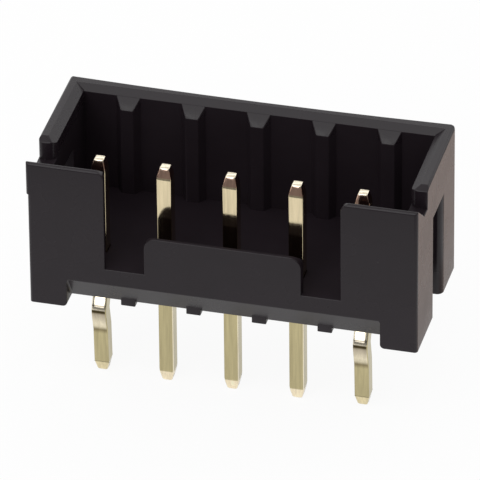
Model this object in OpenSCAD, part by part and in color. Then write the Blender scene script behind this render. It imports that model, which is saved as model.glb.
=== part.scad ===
// Shrouded pin header for a circuit board: one row of square pins in a moulded housing.
// X runs along the row, Y towards the tall back wall, Z up and out of the mouth.
// The origin is the middle of the pin row, on the surface of the board.

/* [Pin row] */
// Number of pins
pin_count = 5; // [4:1:12]
// Distance between neighbouring pins
pitch = 2.5; // [2:0.05:3]

/* [Pins] */
// Side of the square wire
pin_side = 0.56; // [0.4:0.02:0.7]
// Height of the upper ends above the board
pin_top = 5.78; // [4:0.01:6]
// Length of the tapered upper ends
top_taper = 0.41; // [0.2:0.01:0.8]
// Side of the flat on the upper ends
top_flat = 0.35; // [0.1:0.01:0.39]
// Length of the tails below the board
tail_length = 3.6; // [2.4:0.02:5]
// Length of the tapered lower ends
tail_taper = 0.48; // [0.2:0.02:0.8]
// Side of the flat on the lower ends
tail_flat = 0.34; // [0.1:0.01:0.39]
// How far the retaining ears stand out at each side of a pin
ear_reach = 0.1; // [0.04:0.01:0.2]
// Height of the retaining ears, which lie inside the base
ear_height = 0.6; // [0.3:0.05:0.9]
// Gap between a pin and its hole, on each side
pin_clearance = 0.01; // [0.005:0.005:0.04]

/* [Kinked tails] */
// How far the kink of the two outer tails stands forward
kink_reach = 0.3; // [0.05:0.01:0.5]
// Depth of the middle of the kink below the board
kink_depth = 0.68; // [0.4:0.02:0.8]
// Height of the flat on the kink
kink_flat = 0.12; // [0.1:0.02:0.4]
// Depth below the board at which the kink ends
kink_end = 1.54; // [1.1:0.02:1.8]
// How far a tail still stands forward where its kink ends
kink_rest = 0.1; // [0:0.01:0.2]

/* [Housing] */
// Distance from an outer pin to the end of the housing
end_margin = 2.38; // [2.1:0.01:3]
// Distance from the pin row to the front face
front_reach = 1.47; // [1.2:0.01:2]
// Distance from the pin row to the back face
back_reach = 4.69; // [4:0.01:6]
// Height of the rim above the board
height = 6.17; // [5.6:0.01:8]
// Height of the cavity's floor above the board
floor_height = 1.86; // [1.6:0.02:2.4]
// Thickness of the front wall
front_wall = 0.42; // [0.3:0.02:0.7]
// Thickness of the end walls
end_wall = 0.67; // [0.5:0.01:0.9]
// Thickness of the back wall
back_wall = 0.6; // [0.4:0.02:0.9]
// Height of the parting line above the board
parting_height = 4.7; // [4.5:0.02:5.1]
// How far the post beside the first pin stands out above the parting line
parting_step = 0.06; // [0:0.01:0.1]
// Radius of the upright corners
corner_radius = 0.12; // [0.05:0.01:0.2]
// Radius of the upright corner behind the last pin
marked_corner_radius = 0.25; // [0.2:0.01:0.4]
// Radius along the outer edge of the rim, in front and at the ends
rim_radius = 0.1; // [0.03:0.01:0.14]
// How far the back face sinks in at its middle
back_sink = 0.15; // [0.02:0.01:0.2]

/* [Mouth] */
// Width of the lead-in along the end walls
end_lead_in = 0.35; // [0.1:0.01:0.4]
// Depth of the lead-in along the end walls
end_lead_depth = 0.2; // [0.1:0.01:0.4]
// Lead-in chamfer along the back wall
back_lead_in = 0.23; // [0.1:0.01:0.3]
// Distance from the front face to the lead-in on top of the front wall
front_rim = 0.15; // [0.14:0.01:0.25]
// Distance from the front face to the bottom of the notches in the end walls
notch_from_front = 1.08; // [0.8:0.02:1.3]
// Depth of the notches below the rim
notch_depth = 0.86; // [0.5:0.02:1.2]
// Length of the flat at the bottom of a notch
notch_flat = 0.5; // [0.2:0.02:0.8]
// Length of the bevel between a notch and the rim of its end wall
notch_bevel = 0.3; // [0.1:0.02:0.5]
// Drop of that bevel
notch_bevel_drop = 0.13; // [0.05:0.01:0.3]
// Radius of the inner upright edge of an end wall behind its notch
lip_radius = 0.3; // [0.1:0.01:0.4]
// Radius of the outer upright edge of that end wall, beside the first pin
first_lip_radius = 0.17; // [0.05:0.01:0.25]

/* [Front wall] */
// Width of the posts at both ends of the front wall
post_width = 2.9; // [2.4:0.02:3.2]
// How far the posts stay below the rim
post_drop = 0.1; // [0.02:0.01:0.4]
// Radius of the posts' inner top corners
post_radius = 0.35; // [0.1:0.01:0.6]
// Radius of the posts' upright edges beside the opening, on the inside
post_edge_radius = 0.3; // [0.1:0.01:0.3]
// Width of the gaps beside the tongue
gap_width = 1.5; // [1:0.02:1.8]
// Height of the tongue's top above the board
tongue_top = 3.44; // [3:0.02:5]
// Radius of the tongue's top corners
tongue_radius = 0.45; // [0.1:0.01:0.6]

/* [Back wall ribs] */
// Width of a rib at the wall
rib_base = 0.92; // [0.7:0.02:1.2]
// Width of a rib at its tip
rib_tip = 0.48; // [0.3:0.02:0.6]
// How far a rib stands out of the wall
rib_reach = 0.3; // [0.15:0.01:0.6]
// Drop of the slope on top of a rib
rib_slope = 0.45; // [0.2:0.02:0.8]

/* [End slots] */
// Distance from the front face to a slot
slot_from_front = 2.48; // [2.2:0.01:2.8]
// Width of a slot
slot_width = 1.55; // [1:0.05:2]
// Height of a slot's top above the board
slot_top = 4.36; // [3:0.02:4.4]
// How far a slot cuts into the base past the end wall
slot_sink = 0.08; // [0.02:0.02:0.2]
// Radius of the upright edge behind a slot
slot_edge_radius = 0.25; // [0.1:0.01:0.4]

/* [Underside] */
// Gap between the board and the underside
board_gap = 0.19; // [0.1:0.01:0.4]
// Width of the feet at the four corners
foot_width = 1.42; // [1.1:0.01:1.7]
// Radius along the inner bottom edge of the feet
foot_radius = 0.17; // [0.05:0.01:0.3]
// Radius of the fillet between the front feet and the bevel
bevel_fillet = 0.3; // [0.1:0.02:0.5]
// Height of the front bevel's upper edge above the board
bevel_top = 1.2; // [0.6:0.02:1.4]
// How far the front bevel runs back
bevel_depth = 0.62; // [0.3:0.02:0.8]
// Width of the standoffs between the pins
standoff_width = 0.55; // [0.3:0.01:0.8]
// Length of the standoffs from front to back
standoff_length = 1.7; // [0.8:0.02:2.4]
// How far the standoffs stand in front of the bevel's lower edge
standoff_lead = 0.12; // [0:0.01:0.2]
// Gap between the board and the standoffs
standoff_gap = 0.04; // [0:0.01:0.08]

/* [Hidden] */
$fn = 48;
plastic = "#2d2c2e";
gold = "#d8cc9c";
// Overrun of the cutters past the faces that they cut
over = 0.5;
row_length = (pin_count - 1) * pitch;
half_length = row_length / 2 + end_margin;
half_inside = half_length - end_wall;
half_opening = half_length - post_width;
half_tongue = half_opening - gap_width;
half_between_feet = half_length - foot_width;
front = -front_reach;
back = back_reach;
inside_front = front + front_wall;
inside_back = back - back_wall;
slot_front = front + slot_from_front;
slot_back = slot_front + slot_width;
notch_front = front + notch_from_front;
notch_back = notch_front + notch_flat;
notch_bottom = height - notch_depth;
post_top = height - post_drop;
stepped_end = half_length + parting_step;
sink_radius = (half_length * half_length + back_sink * back_sink) / (2 * back_sink);
bevel_drop = bevel_top - board_gap;
bevel_slope = atan2(bevel_drop, bevel_depth);
kink_start = kink_depth - kink_flat / 2;
kink_stop = kink_depth + kink_flat / 2;
// Kinked tails are bent from the same length of wire, so they end a little higher
kink_down = norm([kink_reach, kink_start]);
kink_back = norm([kink_reach - kink_rest, kink_end - kink_stop]);
kinked_length = tail_length - (kink_down + kink_flat + kink_back - kink_end);
ear_middle = (board_gap + floor_height) / 2;

// Horizontal place of a pin, counted from 1
function pin_x(i) = (i - 1) * pitch - row_length / 2;

// What a corner of radius r loses, with the corner itself at the origin
module corner_waste(r) {
    difference() {
        translate([-over, -over]) square(r + over);
        translate([r, r]) circle(r);
        translate([r, -2 * over]) square(r + 3 * over);
        translate([-2 * over, r]) square(r + 3 * over);
    }
}

// Extrudes a side view, drawn as [Y, Z], along X and centred on the row
module along_row(length) {
    rotate([90, 0, 90]) linear_extrude(length, center = true) children();
}

// Extrudes a front view, drawn as [X, Z], from one depth to another
module through(from, to) {
    translate([0, to, 0]) rotate([90, 0, 0]) linear_extrude(to - from) children();
}

// Plan of the housing, with its upright corners rounded
module plan() {
    difference() {
        translate([-half_length, front]) square([2 * half_length, back - front]);
        translate([-half_length, front]) corner_waste(corner_radius);
        translate([half_length, front]) mirror([1, 0]) corner_waste(corner_radius);
        translate([-half_length, back]) mirror([0, 1]) corner_waste(corner_radius);
        translate([half_length, back]) rotate(180) corner_waste(marked_corner_radius);
    }
}

// Plan of the post beside the first pin, which stands out a little
module stepped_plan() {
    difference() {
        translate([-stepped_end, front]) square([post_width, notch_from_front]);
        translate([-stepped_end, front]) corner_waste(corner_radius);
    }
}

// Side view of the housing: the posts' lead-in runs on as a notch in front of the end walls
module side_outline() {
    difference() {
        translate([front, 0]) square([back - front, height]);
        polygon([
            [front - over, post_top], [front + front_rim, post_top], [notch_front, notch_bottom],
            [notch_back, notch_bottom], [notch_back, height - notch_bevel_drop],
            [notch_back + notch_bevel, height], [notch_back + notch_bevel, height + over],
            [front - over, height + over]
        ]);
        translate([front, post_top]) mirror([0, 1]) corner_waste(rim_radius);
    }
}

module front_outline() {
    difference() {
        translate([-stepped_end, 0]) square([stepped_end + half_length, height]);
        for (side = [0, 1]) mirror([side, 0]) translate([half_length, height]) rotate(180)
            corner_waste(rim_radius);
    }
}

// What the back face loses to its shallow sink
module back_waste() {
    translate([0, back + sink_radius - back_sink, -over])
        cylinder(height + 2 * over, r = sink_radius, $fn = 720);
}

module block() {
    difference() {
        intersection() {
            union() {
                linear_extrude(height) plan();
                translate([0, 0, parting_height]) linear_extrude(height - parting_height) stepped_plan();
            }
            along_row(2 * stepped_end) side_outline();
            through(front, back) front_outline();
        }
        back_waste();
    }
}

// The hollow that takes the mating plug: its long section crossed with its short one
module cavity() {
    intersection() {
        through(front, back) polygon([
            [-half_inside, floor_height], [half_inside, floor_height],
            [half_inside, height - end_lead_depth], [half_inside + end_lead_in, height],
            [half_inside + end_lead_in, height + over], [-half_inside - end_lead_in, height + over],
            [-half_inside - end_lead_in, height], [-half_inside, height - end_lead_depth]
        ]);
        along_row(2 * half_length) polygon([
            [inside_front, floor_height], [inside_back, floor_height],
            [inside_back, height - back_lead_in], [inside_back + back_lead_in, height],
            [inside_back + back_lead_in, height + over], [inside_front, height + over]
        ]);
    }
}

module tongue_outline() {
    difference() {
        translate([-half_tongue, floor_height - over])
            square([2 * half_tongue, tongue_top - floor_height + over]);
        translate([-half_tongue, tongue_top]) mirror([0, 1]) corner_waste(tongue_radius);
        translate([half_tongue, tongue_top]) rotate(180) corner_waste(tongue_radius);
    }
}

// Opening of the front wall, all but the tongue in its middle
module front_opening() {
    through(front - over, inside_front + over) difference() {
        union() {
            translate([-half_opening, floor_height]) square([2 * half_opening, height - floor_height + over]);
            translate([-half_opening, post_top]) rotate(180) corner_waste(post_radius);
            translate([half_opening, post_top]) mirror([0, 1]) corner_waste(post_radius);
        }
        tongue_outline();
    }
}

// Lead-in along the top of the tongue
module tongue_lead_in() {
    run = front_wall - front_rim;
    along_row(2 * half_tongue + over) polygon([
        [front + front_rim, tongue_top], [inside_front + over, tongue_top - run - over],
        [inside_front + over, tongue_top + over], [front + front_rim, tongue_top + over]
    ]);
}

// Rounds the end walls' inner upright edges behind the notches, and the outer one beside the first pin
module lip_rounding() {
    for (side = [0, 1]) mirror([side, 0, 0]) translate([half_inside, notch_back, notch_bottom])
        linear_extrude(notch_depth + over) corner_waste(lip_radius);
    translate([-half_length, notch_back, notch_bottom])
        linear_extrude(notch_depth + over) corner_waste(first_lip_radius);
}

// Rounds the posts' upright edges beside the opening, on the inside
module post_rounding() {
    for (side = [0, 1]) mirror([side, 0, 0]) translate([half_opening, inside_front, floor_height])
        mirror([0, 1, 0]) linear_extrude(height - floor_height + over) corner_waste(post_edge_radius);
}

// Slots up through both end walls, with the edge behind each of them rounded
module end_slots() {
    for (side = [0, 1]) mirror([side, 0, 0]) translate([0, 0, -over]) linear_extrude(slot_top + over) {
        translate([half_inside - slot_sink, slot_front]) square([end_wall + slot_sink + over, slot_width]);
        translate([half_length, slot_back]) mirror([1, 0]) corner_waste(slot_edge_radius);
    }
}

// Clears the underside between the four feet
module underside() {
    translate([-half_between_feet, front - over, -over])
        cube([2 * half_between_feet, back - front + 2 * over, board_gap + over]);
    translate([-half_length - over, slot_front, -over])
        cube([2 * (half_length + over), slot_width, board_gap + over]);
}

// Rounds the inner bottom edge of the feet
module foot_rounding() {
    for (side = [0, 1]) mirror([side, 0, 0]) through(front - over, back + over)
        translate([half_between_feet, 0]) corner_waste(min(foot_radius, board_gap));
}

// Bevel from the underside up to the front face, cut down its slope, with a fillet beside each front foot
module front_bevel() {
    translate([0, front, bevel_top]) rotate([-90 - bevel_slope, 0, 0]) translate([0, 0, -over])
        linear_extrude(norm([bevel_depth, bevel_drop]) + 2 * over) difference() {
            translate([-half_between_feet, 0]) square([2 * half_between_feet, bevel_drop + over]);
            for (side = [0, 1]) mirror([side, 0]) translate([-half_between_feet, 0])
                corner_waste(bevel_fillet);
        }
}

// Keying ribs down the inside of the back wall, one behind each pin
module ribs() {
    for (i = [1:pin_count]) translate([pin_x(i), inside_back, 0]) intersection() {
        translate([0, 0, floor_height - over]) linear_extrude(height - floor_height + over) polygon([
            [-rib_base / 2, over], [-rib_base / 2, 0], [-rib_tip / 2, -rib_reach],
            [rib_tip / 2, -rib_reach], [rib_base / 2, 0], [rib_base / 2, over]
        ]);
        along_row(rib_base) polygon([
            [-rib_reach, 0], [-rib_reach, height - back_lead_in - rib_slope],
            [0, height - back_lead_in], [back_wall / 2, height - back_lead_in], [back_wall / 2, 0]
        ]);
    }
}

module standoffs() {
    standoff_front = front + bevel_depth - standoff_lead;
    for (i = [1:pin_count - 1])
        translate([pin_x(i) + (pitch - standoff_width) / 2, standoff_front, standoff_gap])
            cube([standoff_width, standoff_length, floor_height / 2]);
}

// Directions across the pieces of a line, and across the line at each of its points
function piece_normals(line) = [for (i = [1:len(line) - 1])
    let (d = (line[i] - line[i - 1]) / norm(line[i] - line[i - 1])) [-d.y, d.x]];
function point_normals(n) = concat(
    [n[0]],
    [for (i = [1:len(n) - 1]) (n[i - 1] + n[i]) / (1 + n[i - 1] * n[i])],
    [n[len(n) - 1]]);

// Outline of a wire along a line, with its half width given at each point
module wire_outline(line, halves) {
    m = point_normals(piece_normals(line));
    last = len(line) - 1;
    polygon(concat([for (i = [0:last]) line[i] - halves[i] * m[i]],
        [for (i = [last:-1:0]) line[i] + halves[i] * m[i]]));
}

// Straight pin, or one with a kinked tail, as its front view crossed with its side view.
// Grown by a clearance it is also the hole that the pin sits in.
module pin_form(kinked, grow = 0) {
    half = pin_side / 2 + grow;
    ear = half + ear_reach;
    ear_top = ear_middle + ear_height / 2;
    tip = kinked ? -kinked_length : -tail_length;
    kink = [[-kink_rest, -kink_end], [-kink_reach, -kink_stop], [-kink_reach, -kink_start], [0, 0]];
    bends = kinked ? kink : [];
    lean = kinked ? kink_rest * tail_taper / (kinked_length - kink_end) : 0;
    intersection() {
        through(-pin_side - kink_reach, pin_side) union() {
            wire_outline([[0, tip], [0, tip + tail_taper], [0, pin_top - top_taper], [0, pin_top]],
                [tail_flat / 2, half, half, top_flat / 2]);
            polygon([
                [-half, ear_top - ear_height], [half, ear_top - ear_height],
                [ear, ear_top - ear_reach], [ear, ear_top], [-ear, ear_top], [-ear, ear_top - ear_reach]
            ]);
        }
        along_row(2 * ear) wire_outline(
            concat([[0, tip], [-lean, tip + tail_taper]], bends, [[0, pin_top - top_taper], [0, pin_top]]),
            concat([tail_flat / 2, half], [for (b = bends) half], [half, top_flat / 2]));
    }
}

module housing() {
    color(plastic) difference() {
        union() {
            difference() {
                block();
                cavity();
                front_opening();
                tongue_lead_in();
                lip_rounding();
                post_rounding();
                end_slots();
                underside();
                front_bevel();
                foot_rounding();
            }
            ribs();
            standoffs();
        }
        for (i = [1:pin_count]) translate([pin_x(i), 0, 0]) pin_form(false, pin_clearance);
    }
}

module pin(i) {
    color(gold) translate([pin_x(i), 0, 0]) pin_form(i == 1 || i == pin_count);
}

housing();
for (i = [1:pin_count]) pin(i);
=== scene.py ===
import math

import bmesh
import bpy
import numpy
from mathutils import Matrix, Vector


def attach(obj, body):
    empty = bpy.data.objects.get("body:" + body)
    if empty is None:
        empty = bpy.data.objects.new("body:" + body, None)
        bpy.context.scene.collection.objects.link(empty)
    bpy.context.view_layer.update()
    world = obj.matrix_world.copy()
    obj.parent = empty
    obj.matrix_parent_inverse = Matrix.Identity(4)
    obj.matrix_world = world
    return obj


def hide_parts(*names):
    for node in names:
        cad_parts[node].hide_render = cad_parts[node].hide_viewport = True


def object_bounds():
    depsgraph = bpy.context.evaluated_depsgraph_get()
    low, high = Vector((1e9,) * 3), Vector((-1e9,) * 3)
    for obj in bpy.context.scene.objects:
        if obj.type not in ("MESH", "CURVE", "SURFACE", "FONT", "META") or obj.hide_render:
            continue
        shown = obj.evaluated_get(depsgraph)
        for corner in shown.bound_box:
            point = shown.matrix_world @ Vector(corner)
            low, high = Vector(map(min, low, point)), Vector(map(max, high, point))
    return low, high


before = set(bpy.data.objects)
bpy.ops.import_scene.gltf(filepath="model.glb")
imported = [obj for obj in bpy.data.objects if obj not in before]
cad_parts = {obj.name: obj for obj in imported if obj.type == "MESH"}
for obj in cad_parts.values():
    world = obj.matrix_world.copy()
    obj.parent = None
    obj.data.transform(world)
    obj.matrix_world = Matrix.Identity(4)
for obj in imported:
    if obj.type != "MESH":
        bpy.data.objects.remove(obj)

# Looks of a shrouded pin header: softened edges, black moulded plastic and pale gold plated pins.
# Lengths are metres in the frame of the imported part: X along the row, Y to the back wall, Z up.
MM = 0.001
cad_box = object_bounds()
pins = [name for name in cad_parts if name.startswith("pin_")]

# Camera, fitted to the corners of the housing in the photo
PHOTO_SIDE = 480
FOCAL_PIXELS = 8109.5
SENSOR = 36.0
YAW = math.radians(14.7203)
ELEVATION = math.radians(32.7245)
ROLL = math.radians(-0.582)
DISTANCE = 300.79 * MM
TARGET = Vector((-0.11, 1.6, 1.906)) * MM
CLIP_START = 10 * MM


def add_camera():
    """Stands where the photo was taken from, with the picture's middle on the target."""
    back = Vector((
        math.sin(YAW) * math.cos(ELEVATION),
        -math.cos(YAW) * math.cos(ELEVATION),
        math.sin(ELEVATION)))
    right = Vector((math.cos(YAW), math.sin(YAW), 0))
    up = back.cross(right)
    data = bpy.data.cameras.new("camera")
    data.sensor_width = SENSOR
    data.lens = FOCAL_PIXELS / PHOTO_SIDE * SENSOR
    data.clip_start = CLIP_START
    camera = bpy.data.objects.new("camera", data)
    pointed = Matrix((right, up, back)).transposed() @ Matrix.Rotation(ROLL, 3, "Z")
    camera.matrix_world = Matrix.Translation(TARGET + DISTANCE * back) @ pointed.to_4x4()
    bpy.context.scene.collection.objects.link(camera)
    bpy.context.scene.camera = camera


# Range that most of a noise lies in, and how rough the noises are
NOISE_LOW = 0.3
NOISE_HIGH = 0.7
NOISE_ROUGHNESS = 0.6


class Nodes:
    """The node tree of a material or a world, with short calls to add and join nodes."""

    def __init__(self, owner):
        self.owner = owner
        owner.use_nodes = True
        self.tree = owner.node_tree
        self.tree.nodes.clear()

    def add(self, kind, inputs=None, **settings):
        """A node of a kind. Its inputs are values, or sockets of other nodes."""
        node = self.tree.nodes.new("ShaderNode" + kind)
        for key, value in settings.items():
            setattr(node, key, value)
        for key, value in (inputs or {}).items():
            if isinstance(value, bpy.types.NodeSocket):
                self.tree.links.new(value, node.inputs[key])
            else:
                node.inputs[key].default_value = value
        return node

    def number(self, operation, *values):
        """The result of a calculation with numbers."""
        return self.add("Math", dict(enumerate(values)), operation=operation).outputs[0]

    def vector(self, operation, *values):
        """The result of a calculation with vectors."""
        return self.add("VectorMath", dict(enumerate(values)), operation=operation).outputs["Vector"]

    def axes(self, vector):
        """The X, Y and Z of a vector."""
        return self.add("SeparateXYZ", {"Vector": vector}).outputs

    def most(self, values):
        """The largest of some values."""
        first, *others = values
        for value in others:
            first = self.number("MAXIMUM", first, value)
        return first

    def noise(self, vector, scale, detail=2):
        """Smooth noise, mostly between NOISE_LOW and NOISE_HIGH."""
        return self.add("TexNoise", {
            "Scale": scale, "Detail": detail, "Roughness": NOISE_ROUGHNESS, "Vector": vector,
        }).outputs["Fac"]

    def spread(self, value, low, high, from_low=NOISE_LOW, from_high=NOISE_HIGH):
        """A value carried over from one range to another, and kept within it."""
        return self.add("MapRange", {
            "Value": value, "From Min": from_low, "From Max": from_high, "To Min": low, "To Max": high,
        }).outputs["Result"]

    def ramp(self, value, stops):
        """Colours between stops, each of them a place from 0 to 1 and a colour."""
        node = self.add("ValToRGB", {"Fac": value})
        elements = node.color_ramp.elements
        while len(elements) < len(stops):
            elements.new(0.5)
        for element, (place, colour) in zip(elements, stops):
            element.position = place
            element.color = (*colour, 1)
        return node.outputs["Color"]

    def mix(self, share, one, other):
        """One colour, and as much of the other as the share says."""
        return self.add("MixRGB", {"Fac": share, "Color1": one, "Color2": other}).outputs[0]

    def inside(self, place, boxes, edge):
        """1 in any of the boxes and 0 outside them, with a soft edge."""
        shares = []
        for low, high in boxes:
            low, high = Vector(low) * MM, Vector(high) * MM
            away = self.vector("ABSOLUTE", self.vector("SUBTRACT", place, (low + high) / 2))
            past = self.vector("SUBTRACT", away, (high - low) / 2)
            shares.append(self.spread(self.most(self.axes(past)), 1, 0, 0, edge))
        return self.most(shares)

    def finish(self, shader, output="OutputMaterial"):
        """Shows the shader and gives back the material or world."""
        self.add(output, {"Surface": shader})
        return self.owner


# Plastic: its flow marks with their colours, and its grain
FLOW_SCALE = 420
FLOW_DETAIL = 3
FLOW_DARK = (0.0120, 0.0082, 0.0108)
FLOW_LIGHT = (0.0148, 0.0104, 0.0136)
GRAIN_SCALE = 16000
GRAIN_STRENGTH = 0.35
GRAIN_DEPTH = 0.006 * MM
# Its gloss outside, and the painted shade inside the shroud, where its reflection is made dimmer and rougher
PLASTIC_IOR = 1.36
PLASTIC_ROUGHNESS = 0.24, 0.30
PLASTIC_GLOSS = 0.5
SHADE_ROUGHNESS_ADDED = 0.35
SHADE_GLOSS = 0.15
# The faces that get the painted shade, as boxes around them in mm: the cavity, the back wall between the
# tops of the ribs, the end slots and the bottoms of the notches
SHADE_EDGE = 0.003 * MM
SHADE_BOXES = [
    ((-6.74, -1.44, 1.8), (6.74, 4.12, 5.5)),
    ((-6.74, 4.087, 5.4), (6.74, 4.12, 5.94)),
    ((-7.1, 0.95, 1.8), (7.1, 2.62, 4.4)),
    ((-7.1, -0.5, 5.2), (7.1, 0.45, 5.4)),
]


def moulded_plastic():
    """Black thermoplastic with a fine spark-eroded grain and faint flow marks, with painted shade inside the
    shroud: a dimmer, rougher reflection there.
    """
    n = Nodes(bpy.data.materials.new("moulded_plastic"))
    place = n.add("TexCoord").outputs["Object"]
    flow = n.noise(place, FLOW_SCALE, FLOW_DETAIL)
    grain = n.noise(place, GRAIN_SCALE)
    # painted shade: the faces in these boxes get a dimmer, rougher reflection
    shaded = n.inside(place, SHADE_BOXES, SHADE_EDGE)
    satin = n.spread(flow, *PLASTIC_ROUGHNESS)
    bump = n.add("Bump", {"Strength": GRAIN_STRENGTH, "Distance": GRAIN_DEPTH, "Height": grain})
    shader = n.add("BsdfPrincipled", {
        "Base Color": n.ramp(flow, [(NOISE_LOW, FLOW_DARK), (NOISE_HIGH, FLOW_LIGHT)]),
        "Roughness": n.number("MULTIPLY_ADD", shaded, SHADE_ROUGHNESS_ADDED, satin),
        "IOR": PLASTIC_IOR,
        "Specular IOR Level": n.spread(shaded, PLASTIC_GLOSS, SHADE_GLOSS, 0, 1),
        "Normal": bump.outputs["Normal"],
    })
    return n.finish(shader.outputs["BSDF"])


# Plating: its tones
BRIGHT = (0.72, 0.61, 0.40)
DULL = (0.53, 0.46, 0.26)
# a painted highlight, on the corners of straight tails and in bands at the kinks
PAINTED_HIGHLIGHT = (0.95, 0.86, 0.68)
# a painted highlight at the lower ends of the straight tails
LOWER_END_HIGHLIGHT = (1.00, 0.87, 0.63)
# a painted highlight at the lower ends of the kinked tails
KINKED_END_HIGHLIGHT = (0.84, 0.73, 0.46)
# painted shade in the creases of the kinks
CREASE_SHADE = (0.06, 0.045, 0.02)
# a painted dark reflection on the slopes of the upper tips
TIP_SLOPE_SHADE = (0.64, 0.41, 0.31)
# a painted highlight on the flat tops of the upper tips
TIP_TOP_HIGHLIGHT = (0.85, 0.76, 0.60)
# The tones up a wire, as heights above the board in mm and colours; at the upper tips they hold a painted
# dark reflection on the slopes and a painted highlight on the flat tops
UPPER_TONES = [(1.4, BRIGHT), (5.36, BRIGHT), (5.40, TIP_SLOPE_SHADE), (5.70, TIP_SLOPE_SHADE), (5.75, TIP_TOP_HIGHLIGHT)]
STRAIGHT_TONES = [(-3.14, LOWER_END_HIGHLIGHT), (-3.10, DULL), (0.0, DULL), *UPPER_TONES]
# The corners of a straight tail carry a painted highlight
CORNER_HIGHLIGHT_TONES = [(-3.14, LOWER_END_HIGHLIGHT), (-3.10, PAINTED_HIGHLIGHT), (0.0, PAINTED_HIGHLIGHT), *UPPER_TONES]
# A kinked tail has painted highlights and painted shade in bands in front, at the kink and below it
BESIDE_TONES = [(-3.08, KINKED_END_HIGHLIGHT), (-3.04, DULL), (0.0, DULL), *UPPER_TONES]
KINK_LIGHT_AND_SHADE_TONES = [
    (-3.08, KINKED_END_HIGHLIGHT), (-3.04, DULL), (-1.74, DULL), (-1.56, (0.24, 0.195, 0.105)),
    (-1.40, (0.76, 0.68, 0.49)), (-1.25, (0.86, 0.77, 0.57)), (-0.80, (0.52, 0.45, 0.34)),
    (-0.73, (0.30, 0.25, 0.17)), (-0.70, CREASE_SHADE), (-0.60, CREASE_SHADE), (-0.57, PAINTED_HIGHLIGHT), (-0.49, PAINTED_HIGHLIGHT),
    (-0.45, (0.22, 0.19, 0.15)), (-0.41, (0.09, 0.08, 0.065)), (-0.385, PAINTED_HIGHLIGHT), *UPPER_TONES]
# Size of a normal along X between a front and a side, and of its X times its Y between a face and the
# front right corner or the one across from it
SIDEWAYS = 0.5, 0.8
CORNERWISE = -0.1, -0.3
# Streaks that drawing left along the wire
STREAK_SCALE = (9000, 9000, 500)
STREAK_SHADE = 0.84, 1.09
STREAK_ROUGHNESS = 0.07, 0.13
STREAK_STRENGTH = 0.15
STREAK_DEPTH = 0.002 * MM


def plated_wire(name, front_tones, side_tones, corner_tones):
    """Pale gold plating on drawn square wire, duller on the tails, with painted highlights at the tips and
    the painted highlights and shade that the given tones hold.
    """
    n = Nodes(bpy.data.materials.new(name))
    place = n.add("TexCoord").outputs["Object"]
    streaks = n.noise(n.add("Mapping", {"Vector": place, "Scale": STREAK_SCALE}).outputs["Vector"], 1)
    low, high = (box.z for box in cad_box)
    height = n.spread(n.axes(place)["Z"], 0, 1, low, high)
    fronts, sides, corners = (
        n.ramp(height, [((level * MM - low) / (high - low), colour) for level, colour in tones])
        for tones in (front_tones, side_tones, corner_tones))
    facing = n.axes(n.add("NewGeometry").outputs["Normal"])
    sideways = n.spread(n.number("ABSOLUTE", facing["X"]), 0, 1, *SIDEWAYS)
    cornerwise = n.spread(n.number("MULTIPLY", facing["X"], facing["Y"]), 0, 1, *CORNERWISE)
    # on straight tails the corner tones paint a highlight along the corners
    tone = n.mix(cornerwise, n.mix(sideways, fronts, sides), corners)
    bump = n.add("Bump", {"Strength": STREAK_STRENGTH, "Distance": STREAK_DEPTH, "Height": streaks})
    shader = n.add("BsdfPrincipled", {
        "Base Color": n.vector("MULTIPLY", tone, n.spread(streaks, *STREAK_SHADE)),
        "Metallic": 1.0,
        "Roughness": n.spread(streaks, *STREAK_ROUGHNESS),
        "Normal": bump.outputs["Normal"],
    })
    return n.finish(shader.outputs["BSDF"])


# Softened edges of the moulding and of the wire
HOUSING_EDGE = 0.03 * MM
PIN_EDGE = 0.035 * MM
EDGE_STEPS = 3
# Rounding of the bends in the wires and of their lower ends
WIRE_BEND = 0.1 * MM
WIRE_END = 0.1 * MM
# How much large faces count in the normals beside them
HOUSING_FLATNESS = 50
WIRE_FLATNESS = 80
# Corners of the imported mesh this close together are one, and so are faces this near to one plane
WELD = 0.001 * MM
PLANAR = math.radians(0.2)
# Smallest turn of the surface at an edge, at one that is softened, and the narrowest corner with room
# for that
CREASE = math.radians(12)
SOFT_EDGE = math.radians(30)
CUSP = math.radians(40)
# Front bevel of the solids, with its fillets beside the feet, and the tighter ones that the photo shows
FRONT = -1.47 * MM
BEVEL_TOP = 1.2 * MM
BEVEL_BOTTOM = 0.19 * MM
BEVEL_DEPTH = 0.62 * MM
HALF_BETWEEN_FEET = 5.96 * MM
SOLID_FILLET = 0.3 * MM
FILLET = 0.08 * MM


def with_surface_normals(node):
    """A copy of a node's mesh that carries the solid's own normals as a layer."""
    data = node.data.copy()
    normals = numpy.empty(3 * len(data.loops), numpy.float32)
    data.corner_normals.foreach_get("vector", normals)
    data.attributes.new("surface", "FLOAT_VECTOR", "CORNER").data.foreach_set("vector", normals)
    return data


def tighten_fillets(mesh):
    """Draws the fillets between the front bevel and the feet in to the smaller radius, on the same slope."""
    top = Vector((FRONT, BEVEL_TOP))
    down = Vector((BEVEL_DEPTH, BEVEL_BOTTOM - BEVEL_TOP)).normalized()
    out = Vector((down.y, -down.x))
    for corner in mesh.verts:
        side, place = corner.co.x, corner.co.yz
        section = Vector((HALF_BETWEEN_FEET - abs(side), (place - top).dot(out)))
        arc = section - Vector((SOLID_FILLET, SOLID_FILLET))
        on_fillet = max(arc) <= WELD and abs(arc.length - SOLID_FILLET) <= WELD
        if not on_fillet or place.y < BEVEL_BOTTOM - WELD:
            continue
        beside, below = arc * FILLET / SOLID_FILLET + Vector((FILLET, FILLET))
        if abs(place.x - FRONT) < WELD:
            along = -below * out.x / down.x
        else:
            along = (BEVEL_BOTTOM - BEVEL_TOP - below * out.y) / down.y
        x = math.copysign(HALF_BETWEEN_FEET - beside, side)
        corner.co = x, *(top + below * out + along * down)


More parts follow.
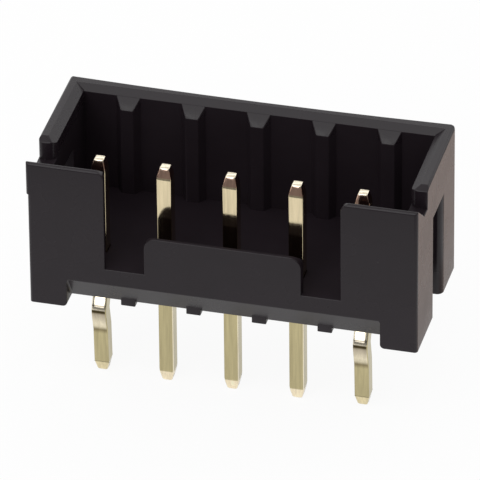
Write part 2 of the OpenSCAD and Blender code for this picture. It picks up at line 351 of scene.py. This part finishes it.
def turn(edge, normal):
    """Largest angle between the surfaces that meet in an edge."""
    one, other = edge.link_loops
    corners = (one, other.link_loop_next), (one.link_loop_next, other)
    return max(a[normal].angle(b[normal]) for a, b in corners)


def without_cusps(mesh, edges):
    """Leaves out the edges that run together into a point, where there is no room to soften them."""
    cusped = set()
    for face in mesh.faces:
        for corner in face.loops:
            pair = {corner.edge, corner.link_loop_prev.edge}
            if pair <= edges and corner.calc_angle() < CUSP:
                cusped |= pair
    return edges - cusped


def sharp(mesh):
    """The outer edges of a mesh that are to be softened."""
    return {edge for edge in mesh.edges if edge.is_convex and edge.calc_face_angle() > SOFT_EDGE}


def lowest(mesh, edges):
    """Those of the edges that lie at the bottom of the mesh."""
    low = min(corner.co.z for corner in mesh.verts) + WELD
    return {edge for edge in edges if all(corner.co.z < low for corner in edge.verts)}


def round_off(mesh, edges, width):
    """Rounds edges of a mesh and gives back the new faces."""
    mesh.edges.index_update()
    return bmesh.ops.bevel(
        mesh, geom=sorted(edges, key=lambda edge: edge.index), offset=width, offset_type="OFFSET",
        segments=EDGE_STEPS, profile=0.5, affect="EDGES", clamp_overlap=False, loop_slide=False)["faces"]


def carry_creases(mesh, strips):
    """Carries the creases that end at rounded edges on across these."""
    strips = set(strips)
    creases = [edge for edge in mesh.edges if not edge.smooth]
    while creases:
        crease = creases.pop()
        beside = set(crease.link_faces)
        for corner in crease.verts:
            ahead = [edge for edge in corner.link_edges if not beside.intersection(edge.link_faces)]
            if len(ahead) == 1 and ahead[0].smooth and strips.issuperset(ahead[0].link_faces):
                ahead[0].smooth = False
                creases.append(ahead[0])


def soften(node, is_wire):
    """A mesh of the node with its outer edges rounded, as moulding, bending and plating leave them."""
    data = with_surface_normals(node)
    mesh = bmesh.new()
    mesh.from_mesh(data)
    normal = mesh.loops.layers.float_vector["surface"]
    bmesh.ops.remove_doubles(mesh, verts=mesh.verts, dist=WELD)
    bmesh.ops.dissolve_limit(mesh, angle_limit=PLANAR, verts=mesh.verts, edges=mesh.edges)
    if not is_wire:
        tighten_fillets(mesh)
    creases = {edge for edge in mesh.edges if turn(edge, normal) > CREASE}
    outer = {edge for edge in creases if edge.is_convex}
    softened = without_cusps(mesh, {edge for edge in outer if turn(edge, normal) > SOFT_EDGE})
    bends = {edge for edge in outer if is_wire and turn(edge, normal) < SOFT_EDGE}
    for edge in mesh.edges:
        edge.smooth = edge not in creases or edge in softened or edge in bends
    for face in mesh.faces:
        face.smooth = True
    if is_wire:
        round_off(mesh, bends, WIRE_BEND)
        round_off(mesh, lowest(mesh, sharp(mesh)), WIRE_END)
        softened = sharp(mesh)
    carry_creases(mesh, round_off(mesh, softened, PIN_EDGE if is_wire else HOUSING_EDGE))
    finished = bpy.data.meshes.new(node.name + "_finished")
    mesh.to_mesh(finished)
    mesh.free()
    bpy.data.meshes.remove(data)
    for layer in ("surface", "custom_normal"):
        if layer in finished.attributes:
            finished.attributes.remove(finished.attributes[layer])
    return finished


def add_finished(name, material, is_wire):
    """The finished piece that stands for a node: its form with softened edges, and its material."""
    data = soften(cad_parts[name], is_wire)
    data.materials.append(material)
    piece = bpy.data.objects.new(data.name, data)
    bpy.context.scene.collection.objects.link(piece)
    normals = piece.modifiers.new("normals", "WEIGHTED_NORMAL")
    normals.keep_sharp = True
    normals.weight = WIRE_FLATNESS if is_wire else HOUSING_FLATNESS
    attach(piece, "root")
    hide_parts(name)


def add_part():
    """The housing, and the pins, of which the outer two are kinked."""
    add_finished("housing", moulded_plastic(), is_wire=False)
    straight = plated_wire("straight_wire", STRAIGHT_TONES, STRAIGHT_TONES, CORNER_HIGHLIGHT_TONES)
    kinked = plated_wire("kinked_wire", KINK_LIGHT_AND_SHADE_TONES, BESIDE_TONES, BESIDE_TONES)
    for name in pins:
        wire = kinked if name in (pins[0], pins[-1]) else straight
        add_finished(name, wire, is_wire=True)


# White table, which ends in front of the part, and the share of it that shows no shadow to the camera
# and in mirrors
WHITE = (1, 1, 1, 1)
TABLE_LOW = Vector((-80, -19)) * MM
TABLE_HIGH = Vector((80, 80)) * MM
TABLE_COLOUR = (0.9, 0.9, 0.9, 1)
TABLE_SEEN = 0.92
TABLE_MIRRORED = 0.6
# Cards that only mirrors show, to the right of the part: a warm one and a white one on top of it
CARD_LIFT = 0.1 * MM
WARM_LOW = Vector((8.6, 0)) * MM
WARM_HIGH = Vector((40, 36)) * MM
WARM_COLOUR = (0.76, 0.62, 0.56, 1)
WHITE_LOW = Vector((12.5, -3)) * MM
WHITE_HIGH = Vector((40, 8)) * MM
WHITE_GLOW = 1.4


def add_card(name, low, high, height, material):
    """A level sheet, such as the table's."""
    middle = (low + high) / 2
    bpy.ops.mesh.primitive_plane_add(size=1, location=(*middle, height))
    card = bpy.context.object
    card.name = name
    card.scale = (*(high - low), 1)
    card.data.materials.append(material)
    return card


def white_table():
    """Pale paper that shows white with a faint shadow to the camera and in mirrors."""
    n = Nodes(bpy.data.materials.new("white_table"))
    path = n.add("LightPath").outputs
    seen = n.number("MULTIPLY", path["Is Camera Ray"], TABLE_SEEN)
    share = n.number("MULTIPLY_ADD", path["Is Glossy Ray"], TABLE_MIRRORED, seen)
    matte = n.add("BsdfDiffuse", {"Color": TABLE_COLOUR}).outputs[0]
    glow = n.add("Emission", {"Color": WHITE, "Strength": 1.0}).outputs[0]
    return n.finish(n.add("MixShader", {0: share, 1: matte, 2: glow}).outputs[0])


def warm_paper():
    """Matte paper in a warm tone."""
    n = Nodes(bpy.data.materials.new("warm_paper"))
    return n.finish(n.add("BsdfDiffuse", {"Color": WARM_COLOUR}).outputs[0])


def white_panel():
    """A panel that glows white."""
    n = Nodes(bpy.data.materials.new("white_panel"))
    return n.finish(n.add("Emission", {"Color": WHITE, "Strength": WHITE_GLOW}).outputs[0])


def add_table():
    """The table under the tails, and the cards on it."""
    floor = cad_box[0].z
    add_card("table", TABLE_LOW, TABLE_HIGH, floor, white_table())
    cards = (
        add_card("warm_card", WARM_LOW, WARM_HIGH, floor + CARD_LIFT, warm_paper()),
        add_card("white_card", WHITE_LOW, WHITE_HIGH, floor + 2 * CARD_LIFT, white_panel()))
    for card in cards:
        card.visible_camera = False
        card.visible_diffuse = False
        card.visible_shadow = False


# Level of the surroundings, apart from the lamps
SURROUND_LIGHT = 0.25
# Lamps: name, place, width, height and power
SOFTBOXES = [
    ("overhead", (0, 0, 0.45), 1.6, 1.6, 5.2),
    ("rear", (-0.13, 0.6, 0.34), 1.2, 0.2, 0.5),
    ("rear_low", (-0.38, 0.5, 0.12), 0.6, 0.34, 0.3),
    ("side", (0.36, 0.54, 0.17), 0.4, 0.25, 0.3),
    ("front_top", (-0.12, -0.35, 0.48), 0.5, 0.5, 0.8),
    ("front", (-0.13, -0.55, 0.225), 0.25, 0.25, 0.5),
    ("left_low", (-0.5, -0.33, 0.1), 0.5, 0.25, 0.4),
]


def add_world():
    """Plain surroundings, white to the camera."""
    n = Nodes(bpy.data.worlds.new("studio"))
    strength = n.spread(n.add("LightPath").outputs["Is Camera Ray"], SURROUND_LIGHT, 1, 0, 1)
    background = n.add("Background", {"Strength": strength, "Color": WHITE})
    bpy.context.scene.world = n.finish(background.outputs[0], "OutputWorld")


def add_softbox(name, place, width, height, power):
    """A studio lamp that faces the part."""
    data = bpy.data.lights.new(name, "AREA")
    data.shape = "RECTANGLE"
    data.size = width
    data.size_y = height
    data.energy = power
    lamp = bpy.data.objects.new(name, data)
    lamp.location = place
    lamp.rotation_euler = (TARGET - Vector(place)).to_track_quat("-Z", "Y").to_euler()
    bpy.context.scene.collection.objects.link(lamp)


add_camera()
add_part()
add_table()
add_world()
for softbox in SOFTBOXES:
    add_softbox(*softbox)
bpy.context.scene.view_settings.view_transform = "Standard"
